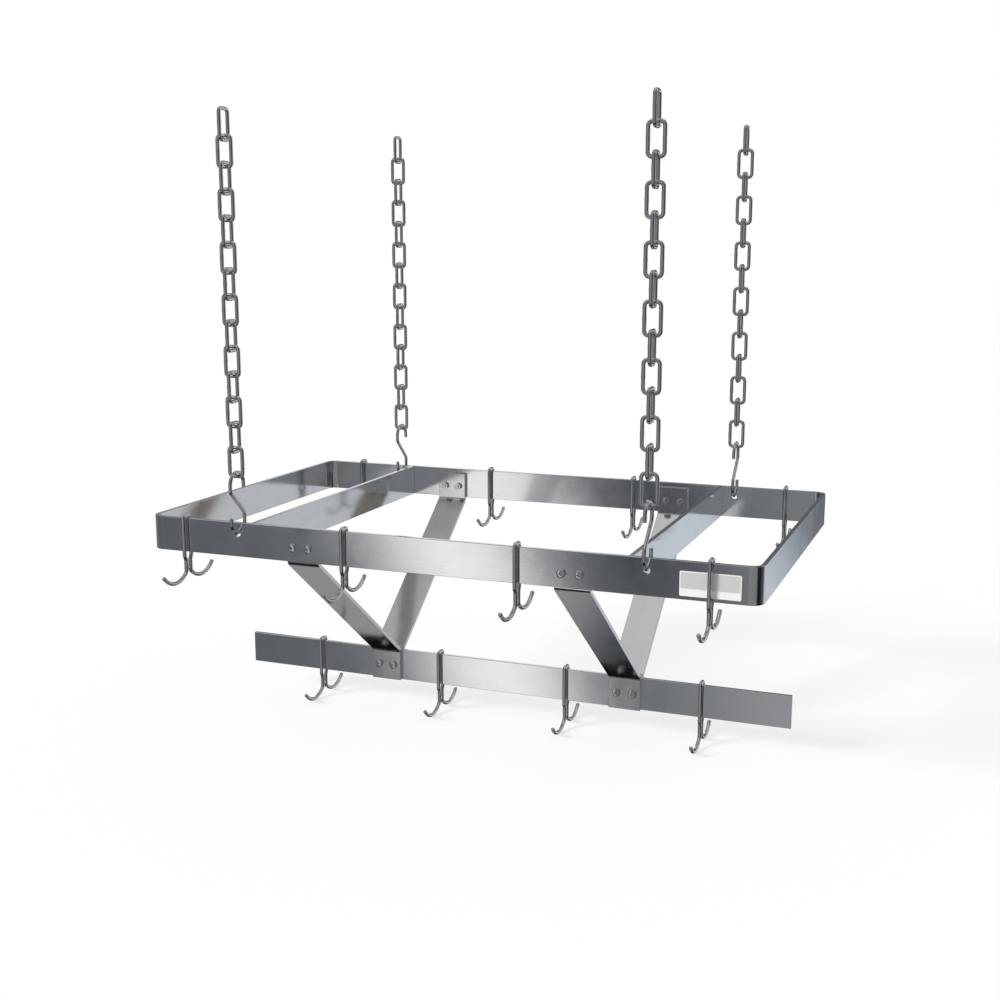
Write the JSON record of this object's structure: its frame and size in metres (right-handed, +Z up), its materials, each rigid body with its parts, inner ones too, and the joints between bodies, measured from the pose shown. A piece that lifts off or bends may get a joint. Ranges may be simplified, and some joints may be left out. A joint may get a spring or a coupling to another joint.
{
  "type": "hanging pot rack",
  "caption": "Rectangular flat-bar ceiling pot rack on chains with S-hooks, crossbars, a lower bar on bent V braces and sliding double pot hooks.",
  "frame": {"origin": "middle of the four hanging points, level with where the top links bear on their ceiling hooks", "axes": "+X right along the rack's length, +Y towards its rear side, +Z up"},
  "size_m": [0.9144, 0.6824, 0.9351],
  "materials": {
    "flat_bar": "satin brushed stainless flat bar",
    "brace": "satin brushed stainless flat bar",
    "fastener": "plain stainless bolts and nuts",
    "pot_hook": "bright drawn stainless wire",
    "s_hook": "zinc-plated steel wire",
    "chain": "zinc-plated welded steel chain",
    "label": "blank silver-white label film"
  },
  "bodies": {
    "hanging_links": {"front_left_top_link": "chain", "front_right_top_link": "chain", "rear_left_top_link": "chain", "rear_right_top_link": "chain"},
    "front_left_second_link": {"front_left_second_link": "chain"},
    "front_left_chain": {"front_left_chain": "chain"},
    "front_left_s_hook": {"front_left_s_hook": "s_hook"},
    "front_right_second_link": {"front_right_second_link": "chain"},
    "front_right_chain": {"front_right_chain": "chain"},
    "front_right_s_hook": {"front_right_s_hook": "s_hook"},
    "rear_left_second_link": {"rear_left_second_link": "chain"},
    "rear_left_chain": {"rear_left_chain": "chain"},
    "rear_left_s_hook": {"rear_left_s_hook": "s_hook"},
    "rear_right_second_link": {"rear_right_second_link": "chain"},
    "rear_right_chain": {"rear_right_chain": "chain"},
    "rear_right_s_hook": {"rear_right_s_hook": "s_hook"},
    "rack": {"top_band": "flat_bar", "left_crossbar": "flat_bar", "right_crossbar": "flat_bar", "lower_bar": "flat_bar", "front_left_brace": "brace", "front_right_brace": "brace", "rear_left_brace": "brace", "rear_right_brace": "brace", "upper_bolts": "fastener", "upper_nuts": "fastener", "lower_bolts": "fastener", "lower_nuts": "fastener", "blank_label": "label"},
    "front_hook_1": {"front_hook_1": "pot_hook"},
    "front_hook_2": {"front_hook_2": "pot_hook"},
    "front_hook_3": {"front_hook_3": "pot_hook"},
    "front_hook_4": {"front_hook_4": "pot_hook"},
    "rear_hook_1": {"rear_hook_1": "pot_hook"},
    "rear_hook_2": {"rear_hook_2": "pot_hook"},
    "rear_hook_3": {"rear_hook_3": "pot_hook"},
    "rear_hook_4": {"rear_hook_4": "pot_hook"},
    "lower_hook_1": {"lower_hook_1": "pot_hook"},
    "lower_hook_2": {"lower_hook_2": "pot_hook"},
    "lower_hook_3": {"lower_hook_3": "pot_hook"},
    "lower_hook_4": {"lower_hook_4": "pot_hook"}
  },
  "joints": [
    {"name": "front_left_side_sway", "type": "hinge", "parent": "hanging_links", "child": "front_left_second_link", "pos_m": [-0.3065, -0.27622, -0.03925], "axis": [0, 1, 0], "range_deg": [-20, 20]},
    {"name": "front_left_fore_aft_sway", "type": "hinge", "parent": "front_left_second_link", "child": "front_left_chain", "pos_m": [-0.3065, -0.27622, -0.07545], "axis": [1, 0, 0], "range_deg": [-20, 20]},
    {"name": "front_left_s_hook_turn", "type": "hinge", "parent": "front_left_chain", "child": "front_left_s_hook", "pos_m": [-0.3065, -0.27622, -0.50985], "axis": [1, 0, 0], "range_deg": [-20, 20]},
    {"name": "front_right_side_sway", "type": "hinge", "parent": "hanging_links", "child": "front_right_second_link", "pos_m": [0.3065, -0.27622, -0.03925], "axis": [0, 1, 0], "range_deg": [-20, 20]},
    {"name": "front_right_fore_aft_sway", "type": "hinge", "parent": "front_right_second_link", "child": "front_right_chain", "pos_m": [0.3065, -0.27622, -0.07545], "axis": [1, 0, 0], "range_deg": [-20, 20]},
    {"name": "front_right_s_hook_turn", "type": "hinge", "parent": "front_right_chain", "child": "front_right_s_hook", "pos_m": [0.3065, -0.27622, -0.50985], "axis": [1, 0, 0], "range_deg": [-20, 20]},
    {"name": "rear_left_side_sway", "type": "hinge", "parent": "hanging_links", "child": "rear_left_second_link", "pos_m": [-0.3065, 0.27622, -0.03925], "axis": [0, 1, 0], "range_deg": [-20, 20]},
    {"name": "rear_left_fore_aft_sway", "type": "hinge", "parent": "rear_left_second_link", "child": "rear_left_chain", "pos_m": [-0.3065, 0.27622, -0.07545], "axis": [1, 0, 0], "range_deg": [-20, 20]},
    {"name": "rear_left_s_hook_turn", "type": "hinge", "parent": "rear_left_chain", "child": "rear_left_s_hook", "pos_m": [-0.3065, 0.27622, -0.50985], "axis": [1, 0, 0], "range_deg": [-20, 20]},
    {"name": "rear_right_side_sway", "type": "hinge", "parent": "hanging_links", "child": "rear_right_second_link", "pos_m": [0.3065, 0.27622, -0.03925], "axis": [0, 1, 0], "range_deg": [-20, 20]},
    {"name": "rear_right_fore_aft_sway", "type": "hinge", "parent": "rear_right_second_link", "child": "rear_right_chain", "pos_m": [0.3065, 0.27622, -0.07545], "axis": [1, 0, 0], "range_deg": [-20, 20]},
    {"name": "rear_right_s_hook_turn", "type": "hinge", "parent": "rear_right_chain", "child": "rear_right_s_hook", "pos_m": [0.3065, 0.27622, -0.50985], "axis": [1, 0, 0], "range_deg": [-20, 20]},
    {"name": "rack_level", "type": "hinge", "parent": "front_left_s_hook", "child": "rack", "pos_m": [-0.3065, -0.27622, -0.59285], "axis": [0, 1, 0], "range_deg": [-20, 20]},
    {"name": "front_hook_1_slide", "type": "slide", "parent": "rack", "child": "front_hook_1", "axis": [1, 0, 0], "range_m": [-0.0385, 0.0755]},
    {"name": "front_hook_2_slide", "type": "slide", "parent": "rack", "child": "front_hook_2", "axis": [1, 0, 0], "range_m": [-0.039, 0.1305]},
    {"name": "front_hook_3_slide", "type": "slide", "parent": "rack", "child": "front_hook_3", "axis": [1, 0, 0], "range_m": [-0.1225, 0.047]},
    {"name": "front_hook_4_slide", "type": "slide", "parent": "rack", "child": "front_hook_4", "axis": [1, 0, 0], "range_m": [-0.07, 0.044]},
    {"name": "rear_hook_1_slide", "type": "slide", "parent": "rack", "child": "rear_hook_1", "axis": [1, 0, 0], "range_m": [-0.049, 0.065]},
    {"name": "rear_hook_2_slide", "type": "slide", "parent": "rack", "child": "rear_hook_2", "axis": [1, 0, 0], "range_m": [-0.0425, 0.127]},
    {"name": "rear_hook_3_slide", "type": "slide", "parent": "rack", "child": "rear_hook_3", "axis": [1, 0, 0], "range_m": [-0.128, 0.0415]},
    {"name": "rear_hook_4_slide", "type": "slide", "parent": "rack", "child": "rear_hook_4", "axis": [1, 0, 0], "range_m": [-0.071, 0.043]},
    {"name": "lower_hook_1_slide", "type": "slide", "parent": "rack", "child": "lower_hook_1", "axis": [1, 0, 0], "range_m": [-0.1265, 0.0925]},
    {"name": "lower_hook_2_slide", "type": "slide", "parent": "rack", "child": "lower_hook_2", "axis": [1, 0, 0], "range_m": [-0.0635, 0.106]},
    {"name": "lower_hook_3_slide", "type": "slide", "parent": "rack", "child": "lower_hook_3", "axis": [1, 0, 0], "range_m": [-0.1015, 0.068]},
    {"name": "lower_hook_4_slide", "type": "slide", "parent": "rack", "child": "lower_hook_4", "axis": [1, 0, 0], "range_m": [-0.0885, 0.1305]}
  ],
  "couplings": [
    {"joint": "front_left_s_hook_turn", "follows": "front_left_fore_aft_sway", "ratio": -1},
    {"joint": "front_right_side_sway", "follows": "front_left_side_sway", "ratio": 1},
    {"joint": "front_right_fore_aft_sway", "follows": "front_left_fore_aft_sway", "ratio": 1},
    {"joint": "front_right_s_hook_turn", "follows": "front_left_fore_aft_sway", "ratio": -1},
    {"joint": "rear_left_side_sway", "follows": "front_left_side_sway", "ratio": 1},
    {"joint": "rear_left_fore_aft_sway", "follows": "front_left_fore_aft_sway", "ratio": 1},
    {"joint": "rear_left_s_hook_turn", "follows": "front_left_fore_aft_sway", "ratio": -1},
    {"joint": "rear_right_side_sway", "follows": "front_left_side_sway", "ratio": 1},
    {"joint": "rear_right_fore_aft_sway", "follows": "front_left_fore_aft_sway", "ratio": 1},
    {"joint": "rear_right_s_hook_turn", "follows": "front_left_fore_aft_sway", "ratio": -1},
    {"joint": "rack_level", "follows": "front_left_side_sway", "ratio": -1}
  ]
}
